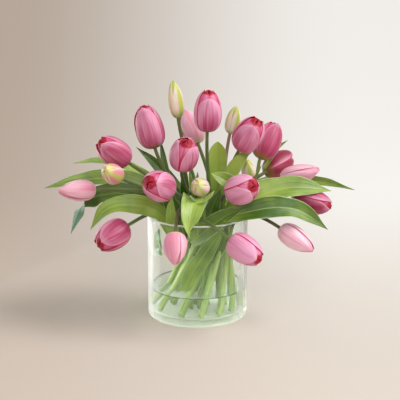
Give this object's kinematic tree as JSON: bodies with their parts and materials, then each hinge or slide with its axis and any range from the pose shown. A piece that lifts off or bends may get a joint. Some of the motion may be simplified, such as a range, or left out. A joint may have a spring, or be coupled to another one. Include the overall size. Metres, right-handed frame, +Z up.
{
  "type": "tulips in a glass vase",
  "caption": "Hand-tied bunch of pink tulips with buds and leaves, standing in water in a clear glass cylinder vase.",
  "frame": {"origin": "centre of the vase's flat underside", "axes": "+Z up; -Y towards the viewer; +X to the viewer's right, the bunch's widest way"},
  "size_m": [0.4648, 0.2351, 0.3543],
  "materials": {
    "glass": "polished",
    "water": "polished",
    "petal": "satin",
    "pale_petal": "satin",
    "green_bud": "satin",
    "stem": "satin",
    "leaf": "satin"
  },
  "bodies": {
    "root": {"vase": "glass", "water": "water", "bloom_01": "green_bud", "bloom_02": "petal", "bloom_03": "petal", "bloom_04": "petal", "bloom_05": "green_bud", "bloom_06": "petal", "bloom_07": "petal", "bloom_08": "petal", "bloom_09": "petal", "bloom_10": "pale_petal", "bloom_11": "petal", "bloom_12": "pale_petal", "bloom_13": "petal", "bloom_14": "pale_petal", "bloom_15": "petal", "bloom_16": "pale_petal", "bloom_17": "green_bud", "bloom_18": "petal", "bloom_19": "petal", "bloom_20": "green_bud", "bloom_21": "petal", "bloom_22": "green_bud", "stem_01": "stem", "stem_02": "stem", "stem_03": "stem", "stem_04": "stem", "stem_05": "stem", "stem_06": "stem", "stem_07": "stem", "stem_08": "stem", "stem_09": "stem", "stem_10": "stem", "stem_11": "stem", "stem_12": "stem", "stem_13": "stem", "stem_14": "stem", "stem_15": "stem", "stem_16": "stem", "stem_17": "stem", "stem_18": "stem", "stem_19": "stem", "stem_20": "stem", "stem_21": "stem", "stem_22": "stem", "leaf_left_long": "leaf", "leaf_left_dark": "leaf", "leaf_left_twist": "leaf", "leaf_left_small": "leaf", "leaf_front_fold": "leaf", "leaf_behind_narrow": "leaf", "leaf_centre_dark": "leaf", "leaf_centre_broad": "leaf", "leaf_centre_slant": "leaf", "leaf_right_big": "leaf", "leaf_right_low": "leaf", "leaf_right_thin": "leaf", "leaf_in_vase_front": "leaf", "leaf_in_vase_left": "leaf"}
  },
  "joints": []
}
